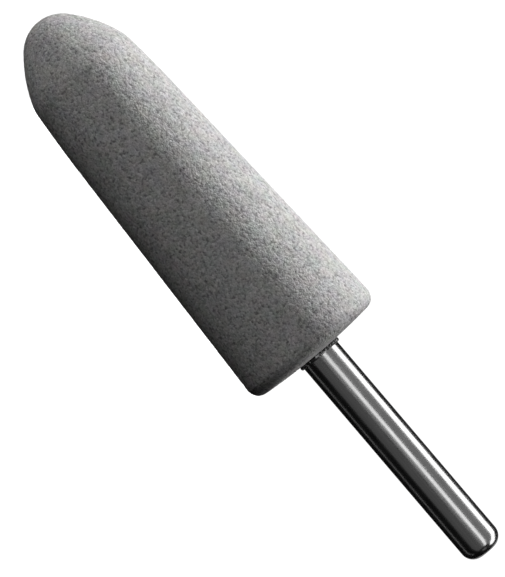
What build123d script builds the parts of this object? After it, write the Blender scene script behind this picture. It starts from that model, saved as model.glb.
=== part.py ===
from build123d import *
import math
import os

# Mounted grinding point: a tapered, round-nosed abrasive head cemented to a steel shank,
# which is held in a 1/4 in collet. It is three pieces, and none moves on another: the
# head is moulded with a blind bore, the shank's grooved tang goes into the bore, and
# cement fills what is left between them and stands out as a small ring at the mouth.
#
# Frame, in millimetres: X is the tool's axis with +X towards the shank's free end, and
# +Z is up. The origin is on the axis, at the step where the plain shank begins.
# Outlines are drawn in the XY plane, with Y as the radius, and turned about X.

# Abrasive head
HEAD_LENGTH = 63.5  # 2-1/2 in, from the tip to the middle of the back face
BASE_DIAMETER = 23.25  # where the flank would meet the back face if its edge were sharp
TAPER_ANGLE = 2.8  # degrees between the flank and the axis
TIP_RADIUS = 5.8  # ball at the very tip
OGIVE_RADIUS = 21.0  # flatter curve from the ball to the shoulder
NOSE_LENGTH = 9.8  # from the tip to the shoulder, where the flank begins
NOSE_SHOULDER_RADIUS = 6.0  # softens the edge between the nose and the flank
EASE_FROM_TIP = 21.0  # from here forward the flank bows in a little
EASE_RADIUS = 230.0
BASE_EDGE_RADIUS = 2.0
BACK_CROWN_RADIUS = 100.0  # the back face is very slightly domed
BORE_END_GAP = 1.0  # cement-filled space ahead of the tang

# Shank
SHANK_DIAMETER = 6.35  # 1/4 in, the collet's size
SHANK_EXPOSED = 38.1  # 1-1/2 in, from the head's back face to the free end
SHANK_END_RADIUS = 2.1  # rounding of the free end
TANG_STEP = 0.4  # how far the tang's surface lies below the plain shank's
TANG_LENGTH = 28.0  # from the step to the end inside the head
TANG_END_CHAMFER = 0.6

# Grip of the tang in the cement: straight V grooves at its inner end, rings before them
KNURL_COUNT = 16
KNURL_LENGTH = 12.0
KNURL_DEPTH = 0.3
KNURL_ANGLE = 80.0  # degrees, of each V
RING_COUNT = 3
RING_FROM_STEP = 6.0  # to the middle of the first ring
RING_PITCH = 3.0
RING_WIDTH = 1.0
RING_DEPTH = 0.35

# Cement
CEMENT_GAP = 0.45  # thickness between the tang and the bore
BEAD_THICKNESS = 0.5  # how far the ring stands out of the head's back face
BEAD_PROUD = 0.42  # how far the ring reaches past the plain shank's surface
BEAD_EDGE_RADIUS = 0.2

SHANK_RADIUS = SHANK_DIAMETER / 2
TANG_RADIUS = SHANK_RADIUS - TANG_STEP
BORE_RADIUS = TANG_RADIUS + CEMENT_GAP
BEAD_RADIUS = SHANK_RADIUS + BEAD_PROUD
STEP_X = 0.0
TANG_END_X = STEP_X - TANG_LENGTH
BORE_BOTTOM_X = TANG_END_X - BORE_END_GAP
BACK_X = STEP_X - BEAD_THICKNESS
TIP_X = BACK_X - HEAD_LENGTH
FREE_END_X = BACK_X + SHANK_EXPOSED
TAPER = math.radians(TAPER_ANGLE)


def arc_about(centre, start, end):
    """The arc with this centre that takes the short way from start to end."""
    towards_middle = ((start + end) / 2 - centre).normalized()
    return ThreePointArc(start, centre + towards_middle * (start - centre).length, end)


def radius_on_circle(centre, radius, x):
    """How far from the axis the upper side of a circle lies at x."""
    return centre.Y + math.sqrt(radius**2 - (x - centre.X) ** 2)


def back_crown_centre():
    return Vector(BACK_X - BACK_CROWN_RADIUS, 0)


def base_corner():
    """Where the straight flank meets the domed back face, before its edge is rounded."""
    rim_radius = BASE_DIAMETER / 2
    drop = BACK_CROWN_RADIUS - math.sqrt(BACK_CROWN_RADIUS**2 - rim_radius**2)
    return Vector(BACK_X - drop, rim_radius)


def ease_start():
    """The point of the flank where its straight part ends, towards the nose."""
    base = base_corner()
    x = TIP_X + EASE_FROM_TIP
    return Vector(x, base.Y - (base.X - x) * math.tan(TAPER))


def ease_centre():
    inward = Vector(math.sin(TAPER), -math.cos(TAPER))
    return ease_start() + inward * EASE_RADIUS


def nose_shoulder():
    x = TIP_X + NOSE_LENGTH
    return Vector(x, radius_on_circle(ease_centre(), EASE_RADIUS, x))


def ogive_centre(tip_centre, end):
    """Centre of the ogive, which ends at end and runs smoothly into the ball."""
    between = OGIVE_RADIUS - TIP_RADIUS
    span = end - tip_centre
    along = (between**2 - OGIVE_RADIUS**2 + span.length**2) / (2 * span.length)
    across = math.sqrt(between**2 - along**2)
    direction = span.normalized()
    towards_axis = Vector(direction.Y, -direction.X)
    return tip_centre + direction * along + towards_axis * across


def head_outline():
    tip = Vector(TIP_X, 0)
    tip_centre = Vector(TIP_X + TIP_RADIUS, 0)
    ogive = ogive_centre(tip_centre, nose_shoulder())
    ball_end = tip_centre + (tip_centre - ogive).normalized() * TIP_RADIUS
    back_middle = Vector(BACK_X, 0)
    edges = [
        arc_about(tip_centre, tip, ball_end),
        arc_about(ogive, ball_end, nose_shoulder()),
        arc_about(ease_centre(), nose_shoulder(), ease_start()),
        Line(ease_start(), base_corner()),
        arc_about(back_crown_centre(), base_corner(), back_middle),
        Line(back_middle, tip),
    ]
    face = make_face(edges)
    face = round_corner(face, nose_shoulder(), NOSE_SHOULDER_RADIUS)
    return round_corner(face, base_corner(), BASE_EDGE_RADIUS)


def nearest_vertex(face, point):
    return face.vertices().sort_by_distance(point)[0]


def round_corner(face, corner, radius):
    return fillet(nearest_vertex(face, corner), radius)


def turned(outline):
    """Turn an outline about the tool's axis."""
    return revolve(outline, axis=Axis.X, revolution_arc=360)


def rod_outline(start_x, end_x, radius):
    return Pos(start_x, 0) * Rectangle(end_x - start_x, radius, align=Align.MIN)


def rod(start_x, end_x, radius):
    """A plain cylinder on the tool's axis."""
    return turned(rod_outline(start_x, end_x, radius))


def make_head():
    bore = rod(BORE_BOTTOM_X, STEP_X, BORE_RADIUS)
    return turned(head_outline()) - bore


def make_plain_shank():
    outline = rod_outline(STEP_X, FREE_END_X, SHANK_RADIUS)
    end_corner = Vector(FREE_END_X, SHANK_RADIUS)
    return turned(round_corner(outline, end_corner, SHANK_END_RADIUS))


def knurl_groove():
    """One straight V groove along the top of the tang's inner end."""
    cutter_height = 2 * KNURL_DEPTH  # twice the groove's depth, to clear the surface
    half_width = cutter_height * math.tan(math.radians(KNURL_ANGLE / 2))
    bottom = TANG_RADIUS - KNURL_DEPTH
    top = bottom + cutter_height
    corners = [(0, bottom), (half_width, top), (-half_width, top)]
    section = Plane.YZ * make_face(Polyline(*corners, close=True))
    start_x = TANG_END_X - KNURL_DEPTH
    return Pos(start_x, 0, 0) * extrude(section, amount=KNURL_LENGTH + KNURL_DEPTH)


def ring_groove(number):
    """One groove around the tang, with flat sides."""
    middle = STEP_X - RING_FROM_STEP - number * RING_PITCH
    start, end = middle - RING_WIDTH / 2, middle + RING_WIDTH / 2
    outside = rod(start, end, TANG_RADIUS + RING_DEPTH)
    return outside - rod(start, end, TANG_RADIUS - RING_DEPTH)


def make_tang():
    outline = rod_outline(TANG_END_X, STEP_X, TANG_RADIUS)
    inner_corner = nearest_vertex(outline, Vector(TANG_END_X, TANG_RADIUS))
    tang = turned(chamfer(inner_corner, TANG_END_CHAMFER))
    for number in range(KNURL_COUNT):
        tang -= Rot(number * 360 / KNURL_COUNT, 0, 0) * knurl_groove()
    for number in range(RING_COUNT):
        tang -= ring_groove(number)
    return tang


def make_shank():
    return make_plain_shank() + make_tang()


def make_cement(head, shank):
    """All the space in the bore that the tang leaves, and the ring at its mouth."""
    filling = rod(BORE_BOTTOM_X, STEP_X, BORE_RADIUS)
    inside_head_x = BACK_X - BEAD_THICKNESS  # past the domed back face, which trims it
    ring = rod_outline(inside_head_x, STEP_X, BEAD_RADIUS)
    ring = turned(round_corner(ring, Vector(STEP_X, BEAD_RADIUS), BEAD_EDGE_RADIUS))
    return filling + ring - head - shank


def main():
    os.makedirs("parts", exist_ok=True)
    head = make_head()
    shank = make_shank()
    cement = make_cement(head, shank)
    export_step(head, "parts/abrasive_head.step")
    export_step(shank, "parts/shank.step")
    export_step(cement, "parts/bonding_cement.step")


main()
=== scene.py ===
import math

import bpy
import numpy as np
from mathutils import Matrix, Quaternion, Vector, noise


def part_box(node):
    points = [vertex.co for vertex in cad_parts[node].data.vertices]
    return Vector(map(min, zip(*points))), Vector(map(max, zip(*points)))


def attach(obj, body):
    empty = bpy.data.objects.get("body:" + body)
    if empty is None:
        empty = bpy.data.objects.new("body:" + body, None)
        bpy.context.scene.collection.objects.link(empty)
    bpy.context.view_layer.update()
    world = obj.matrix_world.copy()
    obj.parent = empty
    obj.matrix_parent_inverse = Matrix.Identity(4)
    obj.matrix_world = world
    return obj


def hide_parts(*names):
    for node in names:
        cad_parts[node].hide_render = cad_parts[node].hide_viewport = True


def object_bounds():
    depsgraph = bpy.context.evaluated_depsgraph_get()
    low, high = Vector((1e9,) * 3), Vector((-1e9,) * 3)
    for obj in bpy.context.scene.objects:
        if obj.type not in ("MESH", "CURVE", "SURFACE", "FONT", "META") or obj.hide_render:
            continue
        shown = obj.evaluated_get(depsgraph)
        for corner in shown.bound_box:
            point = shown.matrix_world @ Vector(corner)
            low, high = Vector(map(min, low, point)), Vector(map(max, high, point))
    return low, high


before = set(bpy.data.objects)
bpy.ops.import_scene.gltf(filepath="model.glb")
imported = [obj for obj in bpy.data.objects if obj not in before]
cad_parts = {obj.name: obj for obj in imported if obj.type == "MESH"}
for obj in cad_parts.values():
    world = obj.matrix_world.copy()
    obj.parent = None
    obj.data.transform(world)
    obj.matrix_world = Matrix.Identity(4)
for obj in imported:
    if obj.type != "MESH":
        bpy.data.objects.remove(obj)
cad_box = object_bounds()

# Mounted grinding point: the abrasive head, the steel shank and the ring of cement
# between them, each a mesh of its own on the part's one body.
#
# The part's frame, in metres: X is the tool's axis, with the head's tip at -X and the
# shank's free end at +X, and +Z is up. The origin is where the plain shank begins.

MM = 0.001

# ---------------------------------------------------------------------------------
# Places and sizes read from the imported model
# ---------------------------------------------------------------------------------

head_low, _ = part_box("abrasive_head")
shank_low, shank_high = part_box("shank")
cement_low, cement_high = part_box("bonding_cement")

TIP_X = head_low.x
BORE_BOTTOM_X = cement_low.x
TANG_END_X = shank_low.x
STEP_X = cement_high.x
FREE_END_X = shank_high.x
SHANK_RADIUS = shank_high.z
BEAD_RADIUS = cement_high.z
MIDDLE = (cad_box[0] + cad_box[1]) / 2

# ---------------------------------------------------------------------------------
# Sizes of the outlines, the same as the construction's
# ---------------------------------------------------------------------------------

BEAD_THICKNESS = 0.5 * MM
BACK_X = STEP_X - BEAD_THICKNESS  # the middle of the head's back face
BASE_RADIUS = 23.25 / 2 * MM
TAPER = math.radians(2.8)
TIP_RADIUS = 5.8 * MM
OGIVE_RADIUS = 21.0 * MM
NOSE_LENGTH = 9.8 * MM
NOSE_SHOULDER_RADIUS = 6.0 * MM
EASE_FROM_TIP = 21.0 * MM  # from here forward the flank bows in a little
EASE_RADIUS = 230.0 * MM
BASE_EDGE_RADIUS = 2.0 * MM
BACK_CROWN_RADIUS = 100.0 * MM
BORE_RADIUS = 3.225 * MM

SHANK_END_RADIUS = 2.1 * MM
TANG_RADIUS = 2.775 * MM
TANG_END_CHAMFER = 0.6 * MM
KNURL_COUNT = 16
KNURL_LENGTH = 12.0 * MM
KNURL_DEPTH = 0.3 * MM
KNURL_ANGLE = math.radians(80)
RING_COUNT = 3
RING_FROM_STEP = 6.0 * MM
RING_PITCH = 3.0 * MM
RING_WIDTH = 1.0 * MM
RING_DEPTH = 0.35 * MM


# ---------------------------------------------------------------------------------
# Outlines: points (x, radius), from the -X end to the +X end
# ---------------------------------------------------------------------------------

OUTLINE_STEP = 0.05 * MM  # between the points of an arc
FLANK_NORMAL_ANGLE = math.pi / 2 + TAPER
FLANK_NORMAL = np.array([math.cos(FLANK_NORMAL_ANGLE), math.sin(FLANK_NORMAL_ANGLE)])
FLANK_DIRECTION = np.array([math.cos(TAPER), math.sin(TAPER)])


def circles_meet(centre_a, radius_a, centre_b, radius_b, near):
    """Of the two points where two circles meet, the one nearer to a given point."""
    span = centre_b - centre_a
    apart = np.hypot(*span)
    along = (radius_a**2 - radius_b**2 + apart**2) / (2 * apart)
    across = math.sqrt(radius_a**2 - along**2)
    direction = span / apart
    foot = centre_a + direction * along
    sideways = np.array([direction[1], -direction[0]]) * across
    return min(foot + sideways, foot - sideways, key=lambda p: np.hypot(*(p - near)))


def angle_from(centre, point):
    away = point - centre
    return math.atan2(away[1], away[0])


def arc_points(centre, radius, start, end):
    """Points on an arc between two angles, about one outline step apart."""
    count = max(2, math.ceil(abs(end - start) * radius / OUTLINE_STEP))
    angles = np.linspace(start, end, count)
    return centre + radius * np.column_stack([np.cos(angles), np.sin(angles)])


def base_corner():
    """Where the straight flank would meet the domed back face if its edge were sharp."""
    drop = BACK_CROWN_RADIUS - math.sqrt(BACK_CROWN_RADIUS**2 - BASE_RADIUS**2)
    return np.array([BACK_X - drop, BASE_RADIUS])


def ease_centre():
    """Centre of the arc by which the flank bows in towards the nose."""
    corner = base_corner()
    start_x = TIP_X + EASE_FROM_TIP
    start = corner + FLANK_DIRECTION * (start_x - corner[0]) / math.cos(TAPER)
    return start - FLANK_NORMAL * EASE_RADIUS


def nose_centres(ease):
    """Centres of the ball at the tip, of the ogive and of the softened shoulder."""
    shoulder_x = TIP_X + NOSE_LENGTH
    shoulder_r = ease[1] + math.sqrt(EASE_RADIUS**2 - (shoulder_x - ease[0]) ** 2)
    shoulder = np.array([shoulder_x, shoulder_r])
    under_nose = np.array([shoulder_x, -OGIVE_RADIUS])
    ball = np.array([TIP_X + TIP_RADIUS, 0.0])
    ogive = circles_meet(
        ball, OGIVE_RADIUS - TIP_RADIUS, shoulder, OGIVE_RADIUS, near=under_nose
    )
    blend = circles_meet(
        ogive, OGIVE_RADIUS - NOSE_SHOULDER_RADIUS,
        ease, EASE_RADIUS - NOSE_SHOULDER_RADIUS, near=shoulder,
    )
    return ball, ogive, blend


def rim_centre(crown):
    """Centre of the rounded rim, its radius inside both the flank and the back face."""
    inside_flank = base_corner() - FLANK_NORMAL * BASE_EDGE_RADIUS
    to_crown = crown - inside_flank
    level = float(to_crown @ FLANK_DIRECTION)
    height = float(to_crown @ FLANK_NORMAL)
    reach = math.sqrt((BACK_CROWN_RADIUS - BASE_EDGE_RADIUS) ** 2 - height**2)
    return inside_flank + FLANK_DIRECTION * (level + reach)


def head_outline():
    """The head's outer outline, from its tip to the bore in the middle of its back."""
    ease = ease_centre()
    ball, ogive, blend = nose_centres(ease)
    crown = np.array([BACK_X - BACK_CROWN_RADIUS, 0.0])
    rim = rim_centre(crown)
    ball_to_ogive = angle_from(ogive, ball)
    ogive_to_blend = angle_from(ogive, blend)
    blend_to_ease = angle_from(ease, blend)
    rim_to_crown = angle_from(crown, rim)
    at_bore = math.asin(BORE_RADIUS / BACK_CROWN_RADIUS)
    return np.vstack([
        arc_points(ball, TIP_RADIUS, math.pi, ball_to_ogive),
        arc_points(ogive, OGIVE_RADIUS, ball_to_ogive, ogive_to_blend),
        arc_points(blend, NOSE_SHOULDER_RADIUS, ogive_to_blend, blend_to_ease),
        arc_points(ease, EASE_RADIUS, blend_to_ease, FLANK_NORMAL_ANGLE),
        arc_points(rim, BASE_EDGE_RADIUS, FLANK_NORMAL_ANGLE, rim_to_crown),
        arc_points(crown, BACK_CROWN_RADIUS, rim_to_crown, at_bore),
    ])


def even_points(outline, step):
    """The outline again, with its points evenly spaced along it."""
    lengths = np.hypot(*np.diff(outline, axis=0).T)
    travelled = np.concatenate([[0.0], np.cumsum(lengths)])
    count = math.ceil(travelled[-1] / step) + 1
    at = np.linspace(0.0, travelled[-1], count)
    return np.column_stack([np.interp(at, travelled, outline[:, i]) for i in (0, 1)])


# ---------------------------------------------------------------------------------
# Meshes
# ---------------------------------------------------------------------------------

SHARP_ANGLE = math.radians(50)  # edges that bend more than this are shaded sharp


def turn_angles(segments):
    return np.linspace(0.0, 2 * math.pi, segments, endpoint=False)


def turned_points(outline, segments):
    """Every outline point carried round the X axis: an array (points, segments, 3)."""
    turns = turn_angles(segments)
    x = np.repeat(outline[:, :1], segments, axis=1)
    y = outline[:, 1:] * np.sin(turns)
    z = outline[:, 1:] * np.cos(turns)
    return np.stack([x, y, z], axis=2)


def closed_mesh(name, rings, start_x, end_x):
    """A smooth mesh through rings of points, closed by a point on the axis at each end."""
    count, segments = rings.shape[:2]
    points = np.vstack([rings.reshape(-1, 3), [(start_x, 0, 0), (end_x, 0, 0)]])
    start, end = len(points) - 2, len(points) - 1
    here = np.arange(segments)
    after = (here + 1) % segments
    row = np.arange(count - 1)[:, None] * segments
    quads = np.stack(
        [row + here, row + segments + here, row + segments + after, row + after], axis=2
    )
    last = (count - 1) * segments
    faces = quads.reshape(-1, 4).tolist()
    faces += [[a, b, start] for a, b in zip(here.tolist(), after.tolist())]
    faces += [[last + b, last + a, end] for a, b in zip(here.tolist(), after.tolist())]
    mesh = bpy.data.meshes.new(name)
    mesh.from_pydata(points.tolist(), [], faces)
    mesh.shade_smooth()
    mesh.set_sharp_from_angle(angle=SHARP_ANGLE)
    piece = bpy.data.objects.new(name, mesh)
    bpy.context.scene.collection.objects.link(piece)
    return piece


def finish_piece(piece, material, node):
    piece.data.materials.append(material)
    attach(piece, "root")
    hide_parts(node)


# ---------------------------------------------------------------------------------
# Abrasive head: its skin is carved inwards into grains and slow swells
# ---------------------------------------------------------------------------------

HEAD_SEGMENTS = 288  # round the axis
HEAD_STEP = 0.225 * MM  # along the outline

# Sizes and depths of the relief, in millimetres
GRAIN_SIZE = 0.6
GRAIN_RELIEF = 0.055
SWELL_SIZE = 5.0
SWELL_RELIEF = 0.02

LOWEST_GRAIN = 0.4  # its crest, where the highest grain's is 1
GRAIN_HEIGHT_SPREAD = 17.3  # spaces the grains out in the noise that gives their heights


def relief(point):
    """How far the surface lies below the construction's, at a point in millimetres."""
    distances, centres = noise.voronoi(point / GRAIN_SIZE)
    height = 0.5 + 0.5 * noise.cell(centres[0] * GRAIN_HEIGHT_SPREAD)
    grain_top = LOWEST_GRAIN + (1.0 - LOWEST_GRAIN) * height
    crest = (1.0 - min(distances[0], 1.0)) * grain_top
    swell = 0.5 + 0.5 * noise.noise(point / SWELL_SIZE)
    return GRAIN_RELIEF * (1.0 - crest) + SWELL_RELIEF * swell


def outward_normals(outline):
    along = np.gradient(outline, axis=0)
    along /= np.hypot(*along.T)[:, None]
    return np.column_stack([-along[:, 1], along[:, 0]])


def make_head():
    """The head, with its tip on the axis and the bore's plain edge after its skin."""
    outline = even_points(head_outline(), HEAD_STEP)[1:]
    skin = turned_points(outline, HEAD_SEGMENTS)
    normals = turned_points(outline + outward_normals(outline), HEAD_SEGMENTS) - skin
    depths = [relief(Vector(point) / MM) * MM for point in skin.reshape(-1, 3)]
    skin -= normals * np.array(depths).reshape(*skin.shape[:2], 1)
    bore = np.array([(outline[-1, 0], BORE_RADIUS), (BORE_BOTTOM_X, BORE_RADIUS)])
    rings = np.concatenate([skin[:-1], turned_points(bore, HEAD_SEGMENTS)])
    tip_x = TIP_X + relief(Vector((TIP_X, 0, 0)) / MM) * MM
    head = closed_mesh("grinding_head", rings, tip_x, BORE_BOTTOM_X)
    finish_piece(head, abrasive_material(), "abrasive_head")
    return head


# ---------------------------------------------------------------------------------
# Shank, with its tang in the head
# ---------------------------------------------------------------------------------

SHANK_SEGMENTS = 256
KNURL_HALF_WIDTH = KNURL_DEPTH * math.tan(KNURL_ANGLE / 2)
KNURLED_POINTS = 3  # of the tang's outline: its end, its chamfer and the knurl's far end
STEP_STRIP = 0.2 * MM  # a short first stretch of the plain shank, next to the step


def tang_outline():
    """The tang's outline, from the end inside the head to the step.

    The knurl's far end is in it twice, once cut and once plain, so that it ends sharply.
    """
    points = [
        (TANG_END_X, TANG_RADIUS - TANG_END_CHAMFER),
        (TANG_END_X + TANG_END_CHAMFER, TANG_RADIUS),
        (TANG_END_X + KNURL_LENGTH, TANG_RADIUS),
        (TANG_END_X + KNURL_LENGTH, TANG_RADIUS),
    ]
    bottom = TANG_RADIUS - RING_DEPTH
    for number in reversed(range(RING_COUNT)):
        middle = STEP_X - RING_FROM_STEP - number * RING_PITCH
        start, end = middle - RING_WIDTH / 2, middle + RING_WIDTH / 2
        points += [(start, TANG_RADIUS), (start, bottom), (end, bottom), (end, TANG_RADIUS)]
    return np.array(points + [(STEP_X, TANG_RADIUS)])


def tang_rings():
    """The tang turned, with its straight knurl cut into the stretch at its end."""
    rings = turned_points(tang_outline(), SHANK_SEGMENTS)
    pitch = 2 * math.pi / KNURL_COUNT
    turns = turn_angles(SHANK_SEGMENTS)
    off_groove = np.abs((turns + pitch / 2) % pitch - pitch / 2) * TANG_RADIUS
    cut = KNURL_DEPTH * np.clip(1.0 - off_groove / KNURL_HALF_WIDTH, 0.0, 1.0)
    for ring in rings[:KNURLED_POINTS]:
        ring[:, 1:] *= (1.0 - cut / TANG_RADIUS)[:, None]
    return rings


def make_shank():
    centre = np.array([FREE_END_X - SHANK_END_RADIUS, SHANK_RADIUS - SHANK_END_RADIUS])
    end = arc_points(centre, SHANK_END_RADIUS, math.pi / 2, 0.0)
    plain = np.array([(STEP_X, SHANK_RADIUS), (STEP_X + STEP_STRIP, SHANK_RADIUS)])
    outside = turned_points(np.vstack([plain, end]), SHANK_SEGMENTS)
    rings = np.concatenate([tang_rings(), outside])
    shank = closed_mesh("steel_shank", rings, TANG_END_X, FREE_END_X)
    finish_piece(shank, steel_material(), "shank")
    return shank


# ---------------------------------------------------------------------------------
# Cement: the sleeve round the tang, and the bead that was squeezed out at the back
# ---------------------------------------------------------------------------------

BEAD_START_X = BACK_X - 0.2 * MM  # just inside the head, all round
BEAD_LOWEST = SHANK_RADIUS + 0.05 * MM
BEAD_SECTION_POINTS = 19
BEAD_SQUARENESS = 0.65  # 1 is a round section, less is squarer

# The bead's lumps, in millimetres along its surface
BEAD_LUMP_SIZE = 0.8
BEAD_FINE_LUMP_SIZE = 0.3

# Their heights: the first three are shares of the way from the lowest to the full height
BEAD_LUMP_MEAN = 0.75
BEAD_LUMP_SPREAD = 0.9
BEAD_LEAST_LUMP = 0.3
BEAD_FINE_LUMPS = 0.10 * MM


def squared(value):
    """A sine or cosine, swelled so that the bead's section is squarer than a circle."""
    return math.copysign(abs(value) ** BEAD_SQUARENESS, value)


def bead_radius(x, spoke, rise):
    """How far the lumpy bead reaches along a spoke, at x and at a share of its rise."""
    around = spoke * SHANK_RADIUS / MM
    lump = BEAD_LUMP_MEAN + BEAD_LUMP_SPREAD * noise.noise(around / BEAD_LUMP_SIZE)
    lump = min(1.0, max(BEAD_LEAST_LUMP, lump))
    top = BEAD_LOWEST + (BEAD_RADIUS - BEAD_LOWEST) * lump
    radius = BORE_RADIUS + (top - BORE_RADIUS) * rise
    place = Vector((x / MM, 0.0, 0.0)) + spoke * radius / MM
    fine = noise.noise(place / BEAD_FINE_LUMP_SIZE) * BEAD_FINE_LUMPS * rise
    return min(radius + fine, BEAD_RADIUS)


def bead_rings():
    """The bead's surface, from just inside the head round to the step."""
    middle_x = (BEAD_START_X + STEP_X) / 2
    half_length = (STEP_X - BEAD_START_X) / 2
    turns = turn_angles(SHANK_SEGMENTS)
    spokes = [Vector((0.0, math.sin(turn), math.cos(turn))) for turn in turns]
    rings = []
    for angle in np.linspace(math.pi, 0.0, BEAD_SECTION_POINTS):
        rise = squared(math.sin(angle))
        x = middle_x + half_length * squared(math.cos(angle))
        rings.append([(x, *(spoke * bead_radius(x, spoke, rise)).yz) for spoke in spokes])
    return np.array(rings)


def make_cement():
    filling = np.array([(BORE_BOTTOM_X, BORE_RADIUS), (BEAD_START_X, BORE_RADIUS)])
    rings = np.concatenate([
        turned_points(filling, SHANK_SEGMENTS),
        bead_rings(),
        tang_rings()[::-1],
    ])
    cement = closed_mesh("bonding_cement_bead", rings, BORE_BOTTOM_X, TANG_END_X)
    finish_piece(cement, cement_material(), "bonding_cement")
    return cement


# ---------------------------------------------------------------------------------
# Shader nodes
# ---------------------------------------------------------------------------------

def add_node(tree, kind, inputs=None, **settings):
    """A new node. Its inputs are named or numbered, and settings are its own options.

    An input's value is a number, a colour or another node's output.
    """
    node = tree.nodes.new(kind)
    for name, value in settings.items():
        setattr(node, name, value)
    for name, value in (inputs or {}).items():
        if isinstance(value, bpy.types.NodeSocket):
            tree.links.new(value, node.inputs[name])
        else:
            node.inputs[name].default_value = value
    return node


def new_material(name, **constants):
    """A material with a Principled shader whose constant inputs are set directly."""
    material = bpy.data.materials.new(name)
    material.use_nodes = True
    tree = material.node_tree
    shader = tree.nodes["Principled BSDF"]
    for label, value in constants.items():
        shader.inputs[label.replace("_", " ")].default_value = value
    return material, tree, shader


def object_coordinates(tree):
    return add_node(tree, "ShaderNodeTexCoord").outputs["Object"]


def opaque(tone):
    """A grey level or a colour, as a colour with full alpha."""
    color = tone if isinstance(tone, tuple) else (tone, tone, tone)
    return (*color, 1.0)


def ramp(tree, value, stops):
    """A colour ramp through (position, grey level) or (position, colour) stops."""
    node = add_node(tree, "ShaderNodeValToRGB", {"Fac": value})
    elements = node.color_ramp.elements
    elements[0].position = stops[0][0]
    elements[1].position = stops[-1][0]
    for position, _ in stops[1:-1]:
        elements.new(position)
    for element, (_, tone) in zip(elements, stops):
        element.color = opaque(tone)
    return node.outputs["Color"]


def mix(tree, factor, first, second, blend_type="MIX"):
    """Two colours mixed. The node's colours are its inputs 6 and 7 and its output 2."""
    inputs = {0: factor, 6: first, 7: second}
    node = add_node(tree, "ShaderNodeMix", inputs, data_type="RGBA", blend_type=blend_type)
    return node.outputs[2]


def maths(tree, operation, first, second):
    inputs = {0: first, 1: second}
    return add_node(tree, "ShaderNodeMath", inputs, operation=operation).outputs[0]


def voronoi(tree, at, size):
    inputs = {"Vector": at, "Scale": 1.0 / size}
    return add_node(tree, "ShaderNodeTexVoronoi", inputs)


def cell_tone(tree, cells, channel, stops):
    """A tone of its own for each cell of a Voronoi texture."""
    split = add_node(tree, "ShaderNodeSeparateColor", {"Color": cells.outputs["Color"]})
    return ramp(tree, split.outputs[channel], stops)


def noise_texture(tree, at, size, detail):
    inputs = {"Vector": at, "Scale": 1.0 / size, "Detail": detail}
    return add_node(tree, "ShaderNodeTexNoise", inputs)


def bump(tree, height, distance, normal=None):
    inputs = {"Height": height, "Distance": distance, "Strength": 1.0}
    if normal is not None:
        inputs["Normal"] = normal
    return add_node(tree, "ShaderNodeBump", inputs).outputs["Normal"]


# ---------------------------------------------------------------------------------
# Materials
# ---------------------------------------------------------------------------------

# Tones and roughnesses are ramps over a pattern's value: (value, tone or roughness).

COARSE_GRAIN = 0.34 * MM
FINE_GRAIN = 0.19 * MM
COARSE_TONES = [(0.0, 0.16), (0.12, 0.29), (0.3, 0.43), (0.75, 0.55), (1.0, 0.72)]
FINE_TONES = [(0.0, 0.26), (0.2, 0.40), (0.7, 0.53), (1.0, 0.66)]
GRAIN_BUMP = 0.03 * MM
TINT_PATCH = 2.2 * MM
TINT_STRENGTH = 0.08
MOTTLE_PATCH = 4.5 * MM
MOTTLE_TONES = [(0.3, (0.93, 0.922, 0.912)), (0.7, (1.0, 0.989, 0.983))]
PIT_SIZE = 0.5 * MM
# Pits: the colour is darkened where their bump sinks the surface, as painted shade
PAINTED_PIT_SHADE_TONES = [(0.32, 0.6), (0.44, 1.0)]
PIT_BUMP = 0.085 * MM

DRAWN_LINE_WIDTH = 0.25 * MM
DRAWN_LINE_SQUEEZE = (0.03, 1.0, 1.0)  # of the pattern's coordinates, so lines run along X
DRAWN_LINE_BUMP = 0.0006 * MM
STEEL_TONES = [(0.3, 0.35), (0.7, 0.42)]
STEEL_MARK_SIZE = 2.5 * MM
STEEL_ROUGHNESS = [(0.35, 0.20), (0.7, 0.25)]

CEMENT_LUMP = 0.5 * MM
CEMENT_BUMP = 0.10 * MM
# Nearly black cement, with a light grey stop at the top that paints glints into its colour
CEMENT_TONES_AND_PAINTED_GLINTS = [(0.4, 0.003), (0.56, 0.02), (0.64, 0.5)]
CEMENT_ROUGHNESS = [(0.3, 0.12), (0.75, 0.35)]


def abrasive_material():
    """Pressed grains of fired abrasive: light, dark and faintly coloured, with pits
    darkened by painted shade.
    """
    material, tree, shader = new_material("vitrified_abrasive", Roughness=0.85, IOR=1.45)
    at = object_coordinates(tree)
    coarse = voronoi(tree, at, COARSE_GRAIN)
    fine = voronoi(tree, at, FINE_GRAIN)
    coarse_tone = cell_tone(tree, coarse, "Red", COARSE_TONES)
    fine_tone = cell_tone(tree, fine, "Green", FINE_TONES)
    tint = noise_texture(tree, at, TINT_PATCH, detail=1.0).outputs["Color"]
    mottle = noise_texture(tree, at, MOTTLE_PATCH, detail=3.0).outputs["Fac"]
    pits = noise_texture(tree, at, PIT_SIZE, detail=1.0).outputs["Fac"]

    grains = mix(tree, 0.5, coarse_tone, fine_tone)
    tinted = mix(tree, TINT_STRENGTH, grains, tint, "OVERLAY")
    mottled = mix(tree, 1.0, tinted, ramp(tree, mottle, MOTTLE_TONES), "MULTIPLY")
    # Darker where the pit bump sinks the surface: painted shade in the pits
    color = mix(tree, 1.0, mottled, ramp(tree, pits, PAINTED_PIT_SHADE_TONES), "MULTIPLY")
    tree.links.new(color, shader.inputs["Base Color"])

    depth = maths(tree, "ADD", coarse.outputs["Distance"], fine.outputs["Distance"])
    grain_bump = bump(tree, maths(tree, "MULTIPLY", depth, -1.0), GRAIN_BUMP)
    tree.links.new(bump(tree, pits, PIT_BUMP, grain_bump), shader.inputs["Normal"])
    return material


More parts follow.
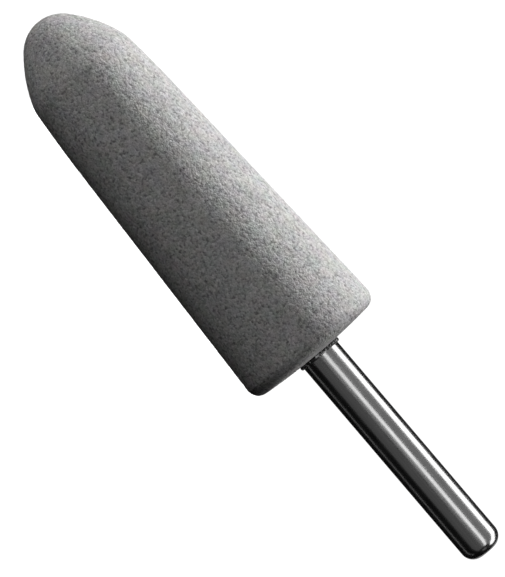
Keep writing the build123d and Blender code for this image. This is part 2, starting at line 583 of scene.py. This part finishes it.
def steel_material():
    """Bright drawn steel, with fine lines along it and the odd faint mark."""
    material, tree, shader = new_material("bright_steel", Metallic=1.0)
    at = object_coordinates(tree)
    squeeze = {"Vector": at, "Scale": DRAWN_LINE_SQUEEZE}
    along = add_node(tree, "ShaderNodeMapping", squeeze).outputs["Vector"]
    lines = noise_texture(tree, along, DRAWN_LINE_WIDTH, detail=3.0).outputs["Fac"]
    marks = noise_texture(tree, at, STEEL_MARK_SIZE, detail=4.0).outputs["Fac"]
    tree.links.new(ramp(tree, lines, STEEL_TONES), shader.inputs["Base Color"])
    tree.links.new(ramp(tree, marks, STEEL_ROUGHNESS), shader.inputs["Roughness"])
    tree.links.new(bump(tree, lines, DRAWN_LINE_BUMP), shader.inputs["Normal"])
    return material


def cement_material():
    """Black cement, set glossy where it was squeezed out, with light grey glints painted
    into its colour.
    """
    material, tree, shader = new_material("black_cement", IOR=1.6)
    at = object_coordinates(tree)
    lumps = noise_texture(tree, at, CEMENT_LUMP, detail=3.0).outputs["Fac"]
    # The highest lumps get a light grey colour: painted glints on the black cement
    tree.links.new(ramp(tree, lumps, CEMENT_TONES_AND_PAINTED_GLINTS), shader.inputs["Base Color"])
    tree.links.new(ramp(tree, lumps, CEMENT_ROUGHNESS), shader.inputs["Roughness"])
    tree.links.new(bump(tree, lumps, CEMENT_BUMP), shader.inputs["Normal"])
    return material


# ---------------------------------------------------------------------------------
# Camera: it looks along Y, square to the tool, and is rolled to the tool's slant
# ---------------------------------------------------------------------------------

LENS = 300.0  # millimetres, as is the sensor
SENSOR = 36.0
VIEW_HEIGHT = 84.37 * MM  # of the picture's long side, at the tool's axis
AIM = MIDDLE + Vector((-0.77, 0.0, -1.26)) * MM
ROLL = math.radians(49.57)
NEAREST_SEEN = 0.01
FARTHEST_SEEN = 20.0


def make_camera():
    data = bpy.data.cameras.new("camera")
    data.lens = LENS
    data.sensor_width = SENSOR
    data.clip_start = NEAREST_SEEN
    data.clip_end = FARTHEST_SEEN
    camera = bpy.data.objects.new("camera", data)
    bpy.context.scene.collection.objects.link(camera)
    distance = VIEW_HEIGHT * LENS / SENSOR
    back = Vector((0.0, -1.0, 0.0))
    camera.location = AIM + back * distance
    camera.rotation_mode = "QUATERNION"
    level = (-back).to_track_quat("-Z", "Y")
    camera.rotation_quaternion = level @ Quaternion((0.0, 0.0, 1.0), ROLL)
    bpy.context.scene.camera = camera


# ---------------------------------------------------------------------------------
# Lights
# ---------------------------------------------------------------------------------

LIGHT_DISTANCE = 0.60


def add_light(name, shape, location, rotation, size, radiance, receivers):
    """An area light of one radiance, whatever its size, that the camera doesn't see."""
    data = bpy.data.lights.new(name, "AREA")
    data.shape = shape
    data.size, data.size_y = size
    area = size[0] * size[1] * (1.0 if shape == "RECTANGLE" else math.pi / 4)
    data.energy = radiance * math.pi * area
    light = bpy.data.objects.new(name, data)
    bpy.context.scene.collection.objects.link(light)
    light.location = location
    light.rotation_mode = "QUATERNION"
    light.rotation_quaternion = rotation
    light.visible_camera = False
    light.light_linking.receiver_collection = receivers


def panel(name, angle, across, start_x, end_x, radiance, receivers):
    """A panel along the tool that faces its axis from an angle round it.

    The angle is 0 in front, on the camera's side, -90 overhead and 90 underneath. It is
    in degrees, and so is the width across that the axis sees.
    """
    turn = math.radians(angle)
    outward = Vector((0.0, -math.cos(turn), -math.sin(turn)))
    location = Vector(((start_x + end_x) / 2, 0.0, 0.0)) + outward * LIGHT_DISTANCE
    along = Vector((1.0, 0.0, 0.0))
    axes = Matrix((along, outward.cross(along), outward)).transposed()
    width = 2 * LIGHT_DISTANCE * math.tan(math.radians(across) / 2)
    size = (end_x - start_x, width)
    add_light(name, "RECTANGLE", location, axes.to_quaternion(), size, radiance, receivers)


def disc(name, direction, size, radiance, receivers=None):
    """A round light that faces the middle of the tool."""
    outward = Vector(direction).normalized()
    rotation = outward.to_track_quat("Z", "Y")
    location = MIDDLE + outward * LIGHT_DISTANCE
    add_light(name, "DISK", location, rotation, (size, size), radiance, receivers)


def light_receivers(name, *pieces):
    """A collection of the only pieces that a light falls on."""
    receivers = bpy.data.collections.new(name)
    for piece in pieces:
        receivers.objects.link(piece)
    return receivers


def make_lights(head, shank, cement, floor):
    """Soft panels for the dull head, and strips that give the bright shank its bands.

    A panel's numbers are its angle, its width across, its two ends along X in metres
    and its radiance. A disc's are its direction, its diameter and its radiance.
    """
    dull = light_receivers("dull_pieces", head, floor)
    panel("head_key", -97.0, 12.0, -0.55, 0.50, 17.4, dull)
    panel("head_front_fill", -7.0, 36.0, -1.30, -0.30, 2.85, dull)
    disc("nose_fill", (-1.0, -0.3, 0.35), 0.30, 1.15, dull)
    disc("head_end_fill", (0.85, 0.0, 0.38), 0.36, 1.75, dull)

    bright = light_receivers("bright_pieces", shank, cement)
    panel("shank_key", -93.5, 32.0, -1.20, 0.60, 3.4, bright)
    panel("shank_strip", -19.5, 18.0, -1.20, 1.00, 2.1, bright)
    panel("shank_upper_panel", -53.0, 40.0, -1.20, 1.00, 0.30, bright)
    panel("shank_front_panel", -1.0, 19.0, -1.20, 1.00, 0.29, bright)
    panel("shank_lower_panel", 34.0, 44.0, -1.20, 1.00, 0.125, bright)
    panel("shank_kicker", 101.0, 6.0, -1.20, 0.60, 0.28, bright)
    panel("shank_back_panel", 180.0, 40.0, -0.60, 0.60, 0.45, bright)
    disc("shank_end_key", (0.826, 0.09, 0.556), 0.31, 3.4, bright)
    disc("shank_end_fill", (1.0, -0.12, -0.05), 0.16, 0.25, bright)

    disc("back_fill", (-0.8, 1.0, 0.3), 0.50, 0.6)


# ---------------------------------------------------------------------------------
# Floor and surround
# ---------------------------------------------------------------------------------

WHITE = (1.0, 1.0, 1.0, 1.0)
PURE_WHITE_GLOW = 1.1  # a little over 1, so that the picture shows it as pure white
FLOOR_GREY = (0.5, 0.5, 0.5, 1.0)
FLOOR_SIZE = 4.0
FLOOR_GAP = 0.02 * MM
FLOOR_TILT = math.radians(0.7)  # up towards the camera, which sees it almost edge-on
NEAR_GLOW = 0.78  # of the floor close to the tool, where the tool's shadow shows
NEAR_GLOW_ENDS = 0.05  # this far from the origin, the floor starts to whiten
PURE_WHITE_STARTS = 0.30  # and this far away it is as white as the surround
WORLD_LIGHT = 0.005


def floor_material():
    """Matt and pale, with a glow that fades the floor out into the white surround."""
    material, tree, shader = new_material(
        "pale_floor", Base_Color=FLOOR_GREY, Roughness=1.0, Specular_IOR_Level=0.0,
        Emission_Color=WHITE,
    )
    at = {0: object_coordinates(tree)}
    away = add_node(tree, "ShaderNodeVectorMath", at, operation="LENGTH").outputs["Value"]
    glow = add_node(tree, "ShaderNodeMapRange", {
        "Value": away,
        "From Min": NEAR_GLOW_ENDS, "From Max": PURE_WHITE_STARTS,
        "To Min": NEAR_GLOW, "To Max": PURE_WHITE_GLOW,
    })
    tree.links.new(glow.outputs["Result"], shader.inputs["Emission Strength"])
    return material


def make_floor():
    """A pale floor that the tool lies on with its tapered flank.

    It takes the tool's shadow, but it doesn't light the tool or show in its steel.
    """
    half = FLOOR_SIZE / 2
    under_base = -BASE_RADIUS - FLOOR_GAP
    corners = [
        (x, y, under_base - (x - BACK_X) * math.tan(TAPER) - y * math.tan(FLOOR_TILT))
        for x, y in ((-half, -half), (half, -half), (half, half), (-half, half))
    ]
    mesh = bpy.data.meshes.new("floor")
    mesh.from_pydata(corners, [], [(0, 1, 2, 3)])
    mesh.materials.append(floor_material())
    floor = bpy.data.objects.new("floor", mesh)
    bpy.context.scene.collection.objects.link(floor)
    floor.visible_diffuse = False
    floor.visible_glossy = False
    floor.visible_transmission = False
    floor.visible_shadow = False
    return floor


def make_world():
    """A white surround for the camera, and nearly dark for everything else."""
    world = bpy.data.worlds.new("studio")
    bpy.context.scene.world = world
    world.use_nodes = True
    tree = world.node_tree
    tree.nodes.clear()
    seen = add_node(tree, "ShaderNodeLightPath").outputs["Is Camera Ray"]
    dim = add_node(tree, "ShaderNodeBackground", {"Color": WHITE, "Strength": WORLD_LIGHT})
    white = add_node(
        tree, "ShaderNodeBackground", {"Color": WHITE, "Strength": PURE_WHITE_GLOW}
    )
    both = add_node(
        tree, "ShaderNodeMixShader", {"Fac": seen, 1: dim.outputs[0], 2: white.outputs[0]}
    )
    add_node(tree, "ShaderNodeOutputWorld", {"Surface": both.outputs[0]})


grinding_head = make_head()
steel_shank = make_shank()
cement_bead = make_cement()
pale_floor = make_floor()
make_camera()
make_lights(grinding_head, steel_shank, cement_bead, pale_floor)
make_world()
bpy.context.scene.view_settings.view_transform = "Standard"  # no tone curve
